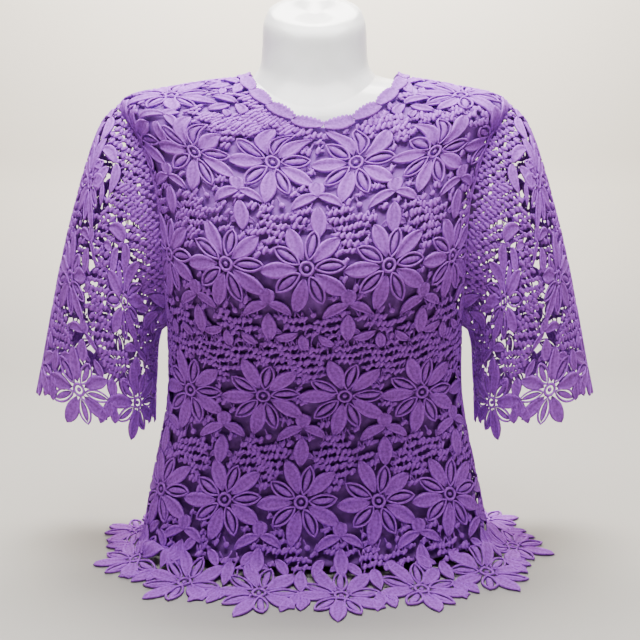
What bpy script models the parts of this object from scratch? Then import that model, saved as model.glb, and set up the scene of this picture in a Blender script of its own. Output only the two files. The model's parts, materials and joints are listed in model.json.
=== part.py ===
"""Lace top on a headless bust form. Metres, +Z up, the wearer's front faces -Y.

Every cloth is a wall worked out from ring tables: a ring runs once round the body or the sleeve,
and the rings are joined by a smooth curve. The lace walls have their largest gaps cut through.
"""

import math

import bmesh
import bpy
import numpy as np
from mathutils.geometry import delaunay_2d_cdt

MM = 0.001

# Cloth and clearances
LACE_WALL = 1.8 * MM
LINING_WALL = 1.0 * MM
TRIM_WALL = 1.2 * MM
SEAM_GAP = 0.35 * MM
SLEEVE_ROOM = 2.0 * MM  # more room where the sleeve turns away from the body's wall
LINING_DEPTH = 4.6 * MM  # the lining's middle under the lace's middle
FORM_DEPTH = 9.8 * MM  # the form's skin under the lace's middle
NECK_LINING_DEPTH = 2.1 * MM  # the same two at the neckline, where the layers lie on each other
NECK_FORM_DEPTH = 3.8 * MM
NECK_REACH = 0.5  # rings over which they close up
FLOOR_Z = LACE_WALL / 2  # the lace's middle where it lies on the floor

# Body rings in millimetres, from the tips of the hem's petals up to the tips of the neck scallops:
# half width, front, back, z at the front, z at the side, z at the back, corner, shift.
# corner is how far the section swells at 45 degrees beyond an ellipse, as a share, and shift moves the ring
# to the wearer's left.
BODY_RINGS = (
    (247, 172, 161, 0.9, 0.9, 0.9, 0.02, 9),  # 0 tips of the hem's petals
    (206, 128, 120, 0.9, 0.9, 0.9, 0.02, 7),  # 1 centres of the hem's flowers
    (192, 101, 101, 3.5, 3.5, 3.5, 0.03, 3),  # 2 inner edge of the part that lies flat
    (184, 83, 91, 22, 22, 22, 0.04, 1),  # 3 turn up from the floor
    (176, 74, 87, 62, 62, 62, 0.04, 0),  # 4 skirt
    (164, 70, 83, 114, 114, 114, 0.04, 0),  # 5 waist
    (154, 79, 83, 168, 168, 168, 0.05, 0),  # 6 midriff
    (152, 104, 87, 223, 236, 230, 0.05, 0),  # 7 foot of the armhole
    (155, 129, 92, 284, 300, 300, 0.05, 0),  # 8 bust
    (163, 116, 93, 342, 368, 366, 0.05, 0),  # 9 chest
    (180, 95, 88, 388, 424, 424, 0.04, 0),  # 10 upper chest
    (194, 87, 68, 408, 464, 460, 0.02, 0),  # 11 shoulder point
    (136, 83, 56, 418, 480, 473, 0.03, 3),  # 12 middle of the shoulder
    (79, 78, 49, 428, 489, 480, 0.07, 9),  # 13 neckline
    (72, 71, 44, 440, 497, 489, 0.09, 10),  # 14 tips of the neck scallops
)
ARMHOLE_FOOT = 7
ARMHOLE_TOP = 11
ARMHOLE_HALF_ANGLE = math.radians(28.5)
ARMHOLE_STEPS = 16
METRES_PER_RADIAN = 0.14  # along the cloth, on average
METRES_PER_RING = 0.052
SLEEVE_METRES_PER_RADIAN = 0.065
SLEEVE_METRES_PER_RING = 0.038
LINING_ARMHOLE_INSET = 9 * MM  # the sleeveless lining is cut in this far behind the lace's armhole
NECKLINE = 13
LINING_HEM = 3.0
SIDE = math.pi / 2

# Waves of the hem where it leaves the floor: degrees from the centre front, rise in mm, spread in degrees
HEM_WAVES = (
    (-58, 17, 13),
    (-20, 5, 12),
    (22, 6, 11),
    (56, 15, 13),
    (98, 9, 12),
    (135, 12, 13),
    (178, 7, 14),
    (-140, 11, 13),
    (-100, 10, 11),
)
HEM_WAVE_RING = 1.85
HEM_WAVE_REACH = 0.55

# Sleeve rings in millimetres for the wearer's left sleeve (+X): x and z on the upper line, x and z on the
# under line, and half the depth. The first ring is the armhole itself.
SLEEVE_RINGS = (
    (212, 446, 164, 231, 66),  # 1
    (228, 406, 168, 221, 71),  # 2
    (243, 358, 171, 207, 73),  # 3
    (257, 308, 172, 190, 73),  # 4
    (269, 258, 173, 172, 72),  # 5
    (279, 213, 174, 153, 72),  # 6
    (287, 180, 175, 130, 72),  # 7 feet of the cuff's petals
    (291, 164, 175, 115, 72),  # 8 tips of the cuff's petals
)
SLEEVE_LAST = len(SLEEVE_RINGS)
SLEEVE_TURN_ROOM = 4  # how soon the sleeve's room opens on both sides of the shoulder point
GRID_DEGREES = 1
GRID_STEPS_PER_RING = 20
SLEEVE_STEPS_PER_RING = 30

# Lace: rows of flowers, and the largest gaps round each one
FLOWER_WIDTH = 72 * MM
BODY_FLOWER_ROWS = (  # ring, flowers all round, distance of the first one from the centre front in mm
    (1.0, 14, 18),
    (4.15, 11, -13),
    (6.17, 10, 29),
    (8.25, 12, -6),
    (10.12, 12, 38),
)
SLEEVE_FLOWER_ROWS = (  # distance above the cuff's petal tips in mm, scale, degrees from the top line
    (42, 0.94, (30, 90, 150, 210, 270, 330)),
    (140, 0.9, (0, 60, 120, 180, 240, 300)),
    (232, 0.9, (52, 308)),
)
# The largest gaps round a flower of the full width, in mm: across, up, half width, half height
FLOWER_GAPS = (
    (5, -40, 7.5, 7.0),
    (38, 9, 6.0, 5.5),
    (37, -13, 5.5, 4.5),
    (27, -53, 5.5, 6.0),
    (-24, -33, 4.5, 5.5),
)
GAP_SIDES = 5
# Outer petals of an edge flower of the full width, in mm from its centre: across, out. A notch comes first,
# then each petal's two shoulders and its tip between them.
EDGE_PETALS = (
    (-36, -2),
    (-29, 16),
    (-26, 22),
    (-19, 21),
    (-12, 18),
    (-15, 33),
    (-10, 40),
    (-4, 34),
    (1, 21),
    (8, 28),
    (13, 31),
    (17, 25),
    (15, 15),
    (28, 23),
    (35, 22),
    (36, 13),
)

# Neck trim: scallops all round, and rings from the neckline to its lower edge, fold, notches and tips
NECK_SCALLOPS = 18
TRIM_STEPS = 4  # corners in a scallop
TRIM_LOW = -0.12
TRIM_FOLD = 0.30
TRIM_NOTCH = 0.45
TRIM_ARCH = 0.55

# Neck of the form in millimetres, from the neckline up to the rim of its slanted cap:
# half width, front, back, z at the front, z at the side, z at the back
FORM_NECK = (
    (62, 60, 40, 447, 491, 490),
    (55, 49, 42, 470, 502, 504),
    (53, 43, 48, 496, 520, 524),
    (52, 40, 52, 516, 540, 552),
    (49, 36, 52, 526, 550, 569),
)
FORM_CAP = ((44, 31, 48, 532, 558, 580), (30, 20, 34, 541, 563, 581), (14, 9, 16, 549, 565, 577))
FORM_BASE_INSET = 2 * MM
FORM_FOOT_SHARE = 0.35  # height of the ring above the base, as a share of the first body ring's
FORM_SIDES = 32
FORM_BODY_RINGS = (4, 4.7, 5.4, 6, 6.6, 7.2, 7.8, 8.4, 9, 9.6, 10.2, 10.6, 11, 11.5, 12, 12.4, 12.7, 13)

# Steps of the flat panels: corners along an edge, and the lattice of points between the edges
BODY_SEAM = math.radians(0.12)
SLEEVE_SEAM = math.radians(0.16)
ARMHOLE_SEAM = math.radians(1)
SIDE_STEPS = 8
SHOULDER_STEPS = 5
NECK_STEPS = 18
LACE_LATTICE_ANGLE = 10
LACE_LATTICE_RINGS = (0.9, NECKLINE, 0.6)
LINING_LATTICE_ANGLE = 12
LINING_LATTICE_RINGS = (3.6, NECKLINE, 0.9)
SLEEVE_LATTICE_ANGLE = 20
SLEEVE_LATTICE_RINGS = (0.6, 7.0, 0.85)
LEAST_BAR = 3 * MM  # between two gaps
LEAST_MARGIN = 6 * MM  # between a gap or a lattice point and the edge
LATTICE_CLEAR = 8 * MM  # between a gap and a lattice point
CLOTH_SHARP_ANGLE = math.radians(40)
FORM_SHARP_ANGLE = math.radians(50)

LACE_COLOUR = (0.34, 0.16, 0.58, 1.0)
LINING_COLOUR = (0.16, 0.06, 0.30, 1.0)
FORM_COLOUR = (0.82, 0.82, 0.80, 1.0)


def clear_scene():
    for obj in list(bpy.data.objects):
        bpy.data.objects.remove(obj)


def make_material(name, colour, roughness):
    material = bpy.data.materials.new(name)
    material.use_nodes = True
    shader = material.node_tree.nodes["Principled BSDF"]
    shader.inputs["Base Color"].default_value = colour
    shader.inputs["Roughness"].default_value = roughness
    return material


def smooth_rows(rows, place):
    """Rows of a table read at fractional places, on a Catmull-Rom curve through them."""
    rows = np.asarray(rows, float)
    place = np.clip(np.asarray(place, float), 0, len(rows) - 1)
    low = np.clip(np.floor(place).astype(int), 0, len(rows) - 2)
    t = place - low
    t = t.reshape(t.shape + (1,) * (rows.ndim - 1))
    before, after = np.maximum(low - 1, 0), np.minimum(low + 2, len(rows) - 1)
    start, end = rows[low], rows[low + 1]
    slope_start = (end - rows[before]) / 2
    slope_end = (rows[after] - start) / 2
    return (
        (2 * t**3 - 3 * t**2 + 1) * start
        + (t**3 - 2 * t**2 + t) * slope_start
        + (3 * t**2 - 2 * t**3) * end
        + (t**3 - t**2) * slope_end
    )


def hem_lift(angle, ring):
    """How far the hem's waves stand above the floor."""
    lift = np.zeros(np.broadcast(angle, ring).shape)
    for degrees, rise, spread in HEM_WAVES:
        off = (angle - math.radians(degrees) + math.pi) % (2 * math.pi) - math.pi
        lift = lift + rise * MM * np.exp(-((off / math.radians(spread)) ** 2))
    return lift * np.exp(-(((ring - HEM_WAVE_RING) / HEM_WAVE_REACH) ** 2))


def body_points(angle, ring):
    """The lace's middle on the body. Angle 0 is the centre front, 90 degrees the wearer's left side."""
    columns = np.moveaxis(smooth_rows(BODY_RINGS, ring), -1, 0)
    half_width, front, back, z_front, z_side, z_back, corner, shift = columns
    across, along = np.sin(angle), np.cos(angle)
    swell = 1 + corner * np.sin(2 * angle) ** 2
    depth = np.where(along > 0, front, back)
    z_middle = np.where(along > 0, z_front, z_back)
    z = np.maximum(z_side + (z_middle - z_side) * along**2, FLOOR_Z / MM) * MM
    return np.stack(
        (
            (half_width * across * swell + shift) * MM,
            -depth * along * swell * MM,
            z + hem_lift(angle, ring),
        ),
        axis=-1,
    )


class Surface:
    """A surface known on a fine grid: points, outward normals, and lengths along both ways."""

    def __init__(self, points, angles, rings):
        self.points, self.angles, self.rings = points, angles, rings
        along_angle = np.gradient(points, axis=0)
        along_ring = np.gradient(points, axis=1)
        normals = np.cross(along_angle, along_ring)
        self.normals = normals / np.linalg.norm(normals, axis=-1, keepdims=True)
        steps = np.linalg.norm(np.diff(points, axis=0), axis=-1)
        self.around = np.concatenate([np.zeros((1, len(rings))), np.cumsum(steps, axis=0)])
        steps = np.linalg.norm(np.diff(points, axis=1), axis=-1)
        self.up = np.concatenate([np.zeros((len(angles), 1)), np.cumsum(steps, axis=1)], axis=1)

    def read(self, field, angle, ring):
        """A field of the grid at any angle and ring, between its samples."""
        a = np.interp(angle, self.angles, np.arange(len(self.angles)))
        r = np.interp(ring, self.rings, np.arange(len(self.rings)))
        a0 = np.minimum(a.astype(int), len(self.angles) - 2)
        r0 = np.minimum(r.astype(int), len(self.rings) - 2)
        fa, fr = a - a0, r - r0
        if field.ndim == 3:
            fa, fr = fa[..., None], fr[..., None]
        low = field[a0, r0] * (1 - fa) + field[a0 + 1, r0] * fa
        high = field[a0, r0 + 1] * (1 - fa) + field[a0 + 1, r0 + 1] * fa
        return low * (1 - fr) + high * fr

    def beside(self, angle, ring, across, up):
        """The angle and ring of points a real distance across and up from one point."""
        line = self.read(self.up, np.full_like(self.rings, angle), self.rings)
        rings = np.interp(np.interp(ring, self.rings, line) + up, line, self.rings)
        wanted = self.read(self.around, np.full_like(rings, angle), rings) + across
        angles = np.full_like(rings, angle)
        for _ in range(6):
            reached = self.read(self.around, angles, rings)
            step = self.read(self.around, angles + 0.02, rings) - reached
            angles = angles + (wanted - reached) / np.maximum(step, 1e-5) * 0.02
        return angles, rings

    def angle_at(self, ring, length):
        """The angle a real length round the ring from angle 0."""
        line = self.read(self.around, self.angles, np.full_like(self.angles, ring))
        return float(np.interp(np.interp(0.0, self.angles, line) + length, line, self.angles))


def body_surface():
    angles = np.radians(np.arange(-270, 271, GRID_DEGREES))
    last = len(BODY_RINGS) - 1
    rings = np.linspace(0, last, last * GRID_STEPS_PER_RING + 1)
    return Surface(body_points(angles[:, None], rings[None, :]), angles, rings)


def armhole_outline(turn, shrink=0.0):
    """Angle and ring of the armhole's edge. turn is 0 at the shoulder point and 90 degrees at the front."""
    half_rings = (ARMHOLE_TOP - ARMHOLE_FOOT) / 2
    angle = SIDE - (ARMHOLE_HALF_ANGLE - shrink / METRES_PER_RADIAN) * np.sin(turn)
    ring = ARMHOLE_FOOT + half_rings + (half_rings - shrink / METRES_PER_RING) * np.cos(turn)
    return angle, ring


def sleeve_surface(body):
    turns = np.radians(np.arange(-200, 381, GRID_DEGREES))
    room = SEAM_GAP + np.minimum(SLEEVE_TURN_ROOM * np.abs(np.sin(turns / 2)), 1) * SLEEVE_ROOM
    armhole = body.read(body.points, *armhole_outline(turns, room))
    rings = [armhole]
    for row in SLEEVE_RINGS:
        top_x, top_z, under_x, under_z, half_depth = (value * MM for value in row)
        share = (1 + np.cos(turns)) / 2
        rings.append(
            np.stack(
                (
                    under_x + (top_x - under_x) * share,
                    -half_depth * np.sin(turns),
                    under_z + (top_z - under_z) * share,
                ),
                axis=-1,
            )
        )
    places = np.linspace(0, SLEEVE_LAST, SLEEVE_LAST * SLEEVE_STEPS_PER_RING + 1)
    grid = np.moveaxis(smooth_rows(np.array(rings), places), 0, 1)
    return Surface(grid, turns, places)


def gap_corners(surface, angle, ring, gap, scale, upward):
    """One gap's corners as angles and rings."""
    across, up, half_width, half_height = (value * MM * scale for value in gap)
    turns = np.linspace(0, 2 * math.pi, GAP_SIDES, endpoint=False) + math.pi / 2
    return surface.beside(
        angle,
        ring,
        across + half_width * np.cos(turns),
        upward * (up + half_height * np.sin(turns)),
    )


def body_flowers(body, rows=BODY_FLOWER_ROWS):
    """Angle, ring and scale of every flower on the body."""
    for ring, count, first in rows:
        line = body.read(body.around, np.array([-math.pi, math.pi]), np.array([ring, ring]))
        pitch = (line[1] - line[0]) / count
        for number in range(-count // 2, count // 2):
            angle = body.angle_at(ring, first * MM + pitch * number)
            yield angle, ring, pitch / FLOWER_WIDTH


def sleeve_flowers(sleeve, rows=SLEEVE_FLOWER_ROWS):
    """Turn, place and scale of every flower on a sleeve."""
    for height, scale, turns in rows:
        for turn in np.radians(turns):
            line = sleeve.read(sleeve.up, np.full_like(sleeve.rings, turn), sleeve.rings)
            yield turn, float(np.interp(line[-1] - height * MM, line, sleeve.rings)), scale


def gaps_of(surface, flowers, middle, upward):
    """The gaps round the flowers, each brought within half a turn of the panel's middle."""
    for angle, ring, scale in flowers:
        for gap in FLOWER_GAPS:
            angles, rings = gap_corners(surface, angle, ring, gap, scale, upward)
            whole_turns = (angles.mean() - middle + math.pi) // (2 * math.pi)
            yield angles - whole_turns * 2 * math.pi, rings


def petal_edge(surface, flowers, low, high, upward):
    """The outer petals of the edge's flowers from one angle to the other, as angles and rings."""
    copies = [
        (angle + turn, angle, ring, scale, turn)
        for angle, ring, scale in flowers
        for turn in (-2 * math.pi, 0, 2 * math.pi)
    ]
    angles, rings = [], []
    for _, angle, ring, scale, turn in sorted(copies):
        across, out = np.array(EDGE_PETALS).T * MM * scale
        petal_angles, petal_rings = surface.beside(angle, ring, across, -out * upward)
        angles.append(petal_angles + turn)
        rings.append(petal_rings)
    angles, rings = np.concatenate(angles), np.concatenate(rings)
    first = np.nonzero(angles <= low)[0][-1]
    last = np.nonzero(angles >= high)[0][0]
    ends = []
    for end, i in ((low, first), (high, last - 1)):
        share = (end - angles[i]) / (angles[i + 1] - angles[i])
        ends.append(rings[i] + share * (rings[i + 1] - rings[i]))
    within = slice(first + 1, last)
    return (
        np.concatenate([[low], angles[within], [high]]),
        np.concatenate([ends[:1], rings[within], ends[1:]]),
    )


def line_between(start, end, count):
    return np.linspace(start, end, count + 1)[1:-1]


class Domain:
    """Turns angle and ring into flat coordinates for the triangulation, and back."""

    def __init__(self, across, up):
        self.scale = np.array([across, up])

    def flat(self, angles, rings):
        return np.stack((angles, rings), axis=-1) * self.scale


BODY_DOMAIN = Domain(METRES_PER_RADIAN, METRES_PER_RING)
SLEEVE_DOMAIN = Domain(SLEEVE_METRES_PER_RADIAN, SLEEVE_METRES_PER_RING)


def inside(outline, points):
    """Which of the points lie inside a closed outline."""
    x, y = points[:, 0], points[:, 1]
    result = np.zeros(len(points), bool)
    for (x1, y1), (x2, y2) in zip(outline, np.roll(outline, -1, axis=0)):
        crosses = (y1 > y) != (y2 > y)
        at = (x2 - x1) * (y - y1) / (y2 - y1 if y2 != y1 else 1e-12) + x1
        result ^= crosses & (x < at)
    return result


def distance_to(outline, points):
    """Least distance of each point from the closed outline."""
    best = np.full(len(points), 1e9)
    for start, end in zip(outline, np.roll(outline, -1, axis=0)):
        along = end - start
        share = np.clip((points - start) @ along / max(along @ along, 1e-12), 0, 1)
        best = np.minimum(best, np.linalg.norm(points - start - share[:, None] * along, axis=1))
    return best


def cut_sheet(domain, outline, gaps, lattice):
    """A flat panel with its gaps, as points (angle, ring) and triangles."""
    edge = domain.flat(*outline)
    cut = []
    for gap in gaps:
        corners = domain.flat(*gap)
        near = any(distance_to(other, corners).min() < LEAST_BAR for other in cut)
        if near or not inside(edge, corners).all() or distance_to(edge, corners).min() < LEAST_MARGIN:
            continue
        cut.append(corners)
    points = domain.flat(*lattice)
    points = points[inside(edge, points)]
    points = points[distance_to(edge, points) > LEAST_MARGIN]
    for corners in cut:
        points = points[distance_to(corners, points) > LATTICE_CLEAR]
        points = points[~inside(corners, points)]
    loops = [edge, *cut]
    rims, count = [], 0
    for loop in loops:
        rims += [(count + i, count + (i + 1) % len(loop)) for i in range(len(loop))]
        count += len(loop)
    flat = np.concatenate([*loops, points])
    found = delaunay_2d_cdt([tuple(point) for point in flat], rims, [], 1, 1e-7)
    corners_2d = np.array([tuple(point) for point in found[0]])
    triangles = np.array([tuple(face) for face in found[2]])
    middle = corners_2d[triangles].mean(axis=1)
    wanted = inside(edge, middle)
    for corners in cut:
        wanted &= ~inside(corners, middle)
    print("gaps cut through:", len(cut))
    return corners_2d / domain.scale, triangles[wanted]


def link(obj, material, collection):
    obj.data.materials.append(material)
    collection.objects.link(obj)
    return obj


def wall(name, points, normals, triangles, thickness, middle_depth):
    """A sheet thickened by Solidify, whose two faces are then set along the surface's own normals."""
    sheet = bpy.data.meshes.new(name)
    sheet.from_pydata(points.tolist(), [], triangles.tolist())
    helper = bpy.data.objects.new(name + "_sheet", sheet)
    bpy.context.scene.collection.objects.link(helper)
    solidify = helper.modifiers.new("Thickness", "SOLIDIFY")
    solidify.thickness = thickness
    solidify.offset = 0
    graph = bpy.context.evaluated_depsgraph_get()
    mesh = bpy.data.meshes.new_from_object(helper.evaluated_get(graph))
    bpy.data.objects.remove(helper)
    mesh.name = name
    middle = points - normals * np.reshape(middle_depth, (-1, 1))
    faces = np.concatenate(
        [middle + normals * thickness / 2, middle - normals * thickness / 2]
    )
    before = np.empty(len(mesh.vertices) * 3)
    mesh.vertices.foreach_get("co", before)
    first = before.reshape(-1, 3)[: len(points)] - points
    if (first * normals).sum() < 0:
        faces = np.concatenate([faces[len(points) :], faces[: len(points)]])
    mesh.vertices.foreach_set("co", faces.astype(np.float32).ravel())
    mesh.update()
    bm = bmesh.new()
    bm.from_mesh(mesh)
    bmesh.ops.recalc_face_normals(bm, faces=bm.faces)
    bm.to_mesh(mesh)
    bm.free()
    mesh.shade_smooth()
    mesh.set_sharp_from_angle(angle=CLOTH_SHARP_ANGLE)
    return bpy.data.objects.new(name, mesh)


def staggered(middle, step, rings):
    """A lattice of points over half a turn, whose rows are shifted by half a step in turn."""
    rings = np.arange(*rings)
    count = int(round(90 / step))
    angles = np.arange(-count, count + 1) * step
    grid = [(angle + step / 2 * (row % 2), ring) for row, ring in enumerate(rings) for angle in angles]
    angles, rings = np.array(grid).T
    return middle + np.radians(angles), rings


def joined(*stretches):
    """One closed outline from stretches that each hold angles and rings; either may be a single number."""
    stretches = [np.broadcast_arrays(*stretch) for stretch in stretches]
    return tuple(np.concatenate(column) for column in zip(*stretches))


def body_outline(middle, hem, inset):
    """The cut of the front (middle 0) or the back (middle 180 degrees) above its hem."""
    low, high = middle - SIDE + BODY_SEAM, middle + SIDE - BODY_SEAM
    turns = np.linspace(math.pi - ARMHOLE_SEAM, ARMHOLE_SEAM, ARMHOLE_STEPS + 1)
    arm_angles, arm_rings = armhole_outline(turns, -inset)
    arm_angles = np.minimum(arm_angles, SIDE - BODY_SEAM)
    side = line_between(hem[1][-1], arm_rings[0], SIDE_STEPS)
    other_side = line_between(arm_rings[0], hem[1][0], SIDE_STEPS)
    shoulder = line_between(arm_rings[-1], NECKLINE, SHOULDER_STEPS)
    return joined(
        hem,
        (high, side),
        (middle + arm_angles, arm_rings),
        (high, shoulder),
        (np.linspace(high, low, NECK_STEPS + 1), NECKLINE),
        (low, shoulder[::-1]),
        (middle - arm_angles[::-1], arm_rings[::-1]),
        (low, other_side),
    )


def body_wall(name, body, panel, thickness, depth):
    flat, triangles = panel
    angle, ring = flat.T
    return wall(
        name,
        body.read(body.points, angle, ring),
        body.read(body.normals, angle, ring),
        triangles,
        thickness,
        depth(ring),
    )


def lace_panel(name, body, middle):
    """The front or the back of the lace, with its hem's petals."""
    low, high = middle - SIDE + BODY_SEAM, middle + SIDE - BODY_SEAM
    hem = petal_edge(body, body_flowers(body, BODY_FLOWER_ROWS[:1]), low, high, 1)
    gaps = gaps_of(body, body_flowers(body), middle, 1)
    lattice = staggered(middle, LACE_LATTICE_ANGLE, LACE_LATTICE_RINGS)
    panel = cut_sheet(BODY_DOMAIN, body_outline(middle, hem, 0), gaps, lattice)
    return body_wall(name, body, panel, LACE_WALL, np.zeros_like)


def layer_depth(ring, usual, at_neck):
    """How deep a layer lies under the lace: its usual depth, closing up at the neckline."""
    return at_neck + (usual - at_neck) * np.clip((NECKLINE - ring) / NECK_REACH, 0, 1)


def lining_panel(name, body, middle):
    """The plain lining behind the front or the back, sleeveless."""
    low, high = middle - SIDE + BODY_SEAM, middle + SIDE - BODY_SEAM
    hem = joined((np.linspace(low, high, NECK_STEPS + 1), LINING_HEM))
    lattice = staggered(middle, LINING_LATTICE_ANGLE, LINING_LATTICE_RINGS)
    outline = body_outline(middle, hem, LINING_ARMHOLE_INSET)
    panel = cut_sheet(BODY_DOMAIN, outline, (), lattice)
    return body_wall(
        name,
        body,
        panel,
        LINING_WALL,
        lambda ring: layer_depth(ring, LINING_DEPTH, NECK_LINING_DEPTH),
    )


def sleeve_half(name, sleeve, start, side):
    """Half a sleeve, from the top line to the underarm line, with the cuff's petals."""
    low, high = start + SLEEVE_SEAM, start + math.pi - SLEEVE_SEAM
    cuff = petal_edge(sleeve, sleeve_flowers(sleeve, SLEEVE_FLOWER_ROWS[:1]), low, high, -1)
    outline = joined(
        cuff,
        (high, line_between(cuff[1][-1], 0, SIDE_STEPS)),
        (np.linspace(high, low, ARMHOLE_STEPS + 1), 0.0),
        (low, line_between(0, cuff[1][0], SIDE_STEPS)),
    )
    middle = start + SIDE
    gaps = gaps_of(sleeve, sleeve_flowers(sleeve), middle, -1)
    lattice = staggered(middle, SLEEVE_LATTICE_ANGLE, SLEEVE_LATTICE_RINGS)
    flat, triangles = cut_sheet(SLEEVE_DOMAIN, outline, gaps, lattice)
    angle, place = flat.T
    points = sleeve.read(sleeve.points, angle, place)
    normals = sleeve.read(sleeve.normals, angle, place)
    mirror = np.array([side, 1, 1])
    return wall(name, points * mirror, normals * mirror, triangles, LACE_WALL, 0.0)


def neck_trim(name, body):
    """The scalloped edging, a closed band that stands on the lace's outer face."""
    steps = NECK_SCALLOPS * TRIM_STEPS
    angles = np.linspace(-math.pi, math.pi, steps, endpoint=False)
    arch = np.abs(np.sin(angles * NECK_SCALLOPS / 2))
    low = np.full(steps, NECKLINE + TRIM_LOW)
    middle = np.full(steps, NECKLINE + TRIM_FOLD)
    high = NECKLINE + TRIM_NOTCH + TRIM_ARCH * np.sqrt(arch)
    angle = np.concatenate([angles] * 3)
    ring = np.concatenate([low, middle, high])
    quads = []
    for row in range(2):
        for i in range(steps):
            j = (i + 1) % steps
            quads.append((row * steps + i, row * steps + j, (row + 1) * steps + j, (row + 1) * steps + i))
    depth = -(LACE_WALL / 2 + SEAM_GAP + TRIM_WALL / 2)
    return wall(
        name,
        body.read(body.points, angle, ring),
        body.read(body.normals, angle, ring),
        np.array(quads),
        TRIM_WALL,
        depth,
    )


def neck_ring(angles, row):
    half_width, front, back, z_front, z_side, z_back = (value * MM for value in row)
    along = np.cos(angles)
    depth = np.where(along > 0, front, back)
    z = (z_front + z_back) / 2 + (z_front - z_back) / 2 * along
    z = z + (z_side - (z_front + z_back) / 2) * np.sin(angles) ** 2
    return np.stack((half_width * np.sin(angles), -depth * along, z), axis=-1)


def bust_form(name, body):
    """The headless, armless form: one closed loft with a flat base and a slanted, rounded neck."""
    angles = np.linspace(-math.pi, math.pi, FORM_SIDES, endpoint=False)
    rings = []
    for ring in FORM_BODY_RINGS:
        spot = np.full_like(angles, ring)
        depth = layer_depth(spot, FORM_DEPTH, NECK_FORM_DEPTH)[:, None]
        rings.append(body.read(body.points, angles, spot) - body.read(body.normals, angles, spot) * depth)
    foot = rings[0]
    lower = foot * np.array([1, 1, FORM_FOOT_SHARE])
    base = foot * np.array([1, 1, 0])
    centre = base.mean(axis=0)
    inset = base - centre
    length = np.linalg.norm(inset, axis=1, keepdims=True)
    base = centre + inset * (length - FORM_BASE_INSET) / length
    rings = [base, lower, *rings]
    rings += [neck_ring(angles, row) for row in FORM_NECK + FORM_CAP]
    grid = np.array(rings)
    bm = bmesh.new()
    loops = [[bm.verts.new(point) for point in ring] for ring in grid]
    count = len(angles)
    for below, above in zip(loops, loops[1:]):
        for i in range(count):
            j = (i + 1) % count
            bm.faces.new((below[i], below[j], above[j], above[i]))
    bm.faces.new(loops[0][::-1])
    bm.faces.new(loops[-1])
    bmesh.ops.recalc_face_normals(bm, faces=bm.faces)
    mesh = bpy.data.meshes.new(name)
    bm.to_mesh(mesh)
    bm.free()
    mesh.shade_smooth()
    mesh.set_sharp_from_angle(angle=FORM_SHARP_ANGLE)
    return bpy.data.objects.new(name, mesh)


def main():
    clear_scene()
    collection = bpy.data.collections.new("lace_top_on_bust_form")
    bpy.context.scene.collection.children.link(collection)
    lace = make_material("lace", LACE_COLOUR, 0.8)
    lining = make_material("lining", LINING_COLOUR, 0.7)
    form = make_material("form", FORM_COLOUR, 0.25)
    body = body_surface()
    sleeve = sleeve_surface(body)
    link(lace_panel("lace_front", body, 0.0), lace, collection)
    link(lace_panel("lace_back", body, math.pi), lace, collection)
    for word, side in (("left", 1), ("right", -1)):
        for half, start in (("front", 0.0), ("back", -math.pi)):
            link(sleeve_half(f"sleeve_{word}_{half}", sleeve, start, side), lace, collection)
    link(neck_trim("neck_trim", body), lace, collection)
    link(lining_panel("lining_front", body, 0.0), lining, collection)
    link(lining_panel("lining_back", body, math.pi), lining, collection)
    link(bust_form("bust_form", body), form, collection)


main()
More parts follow.
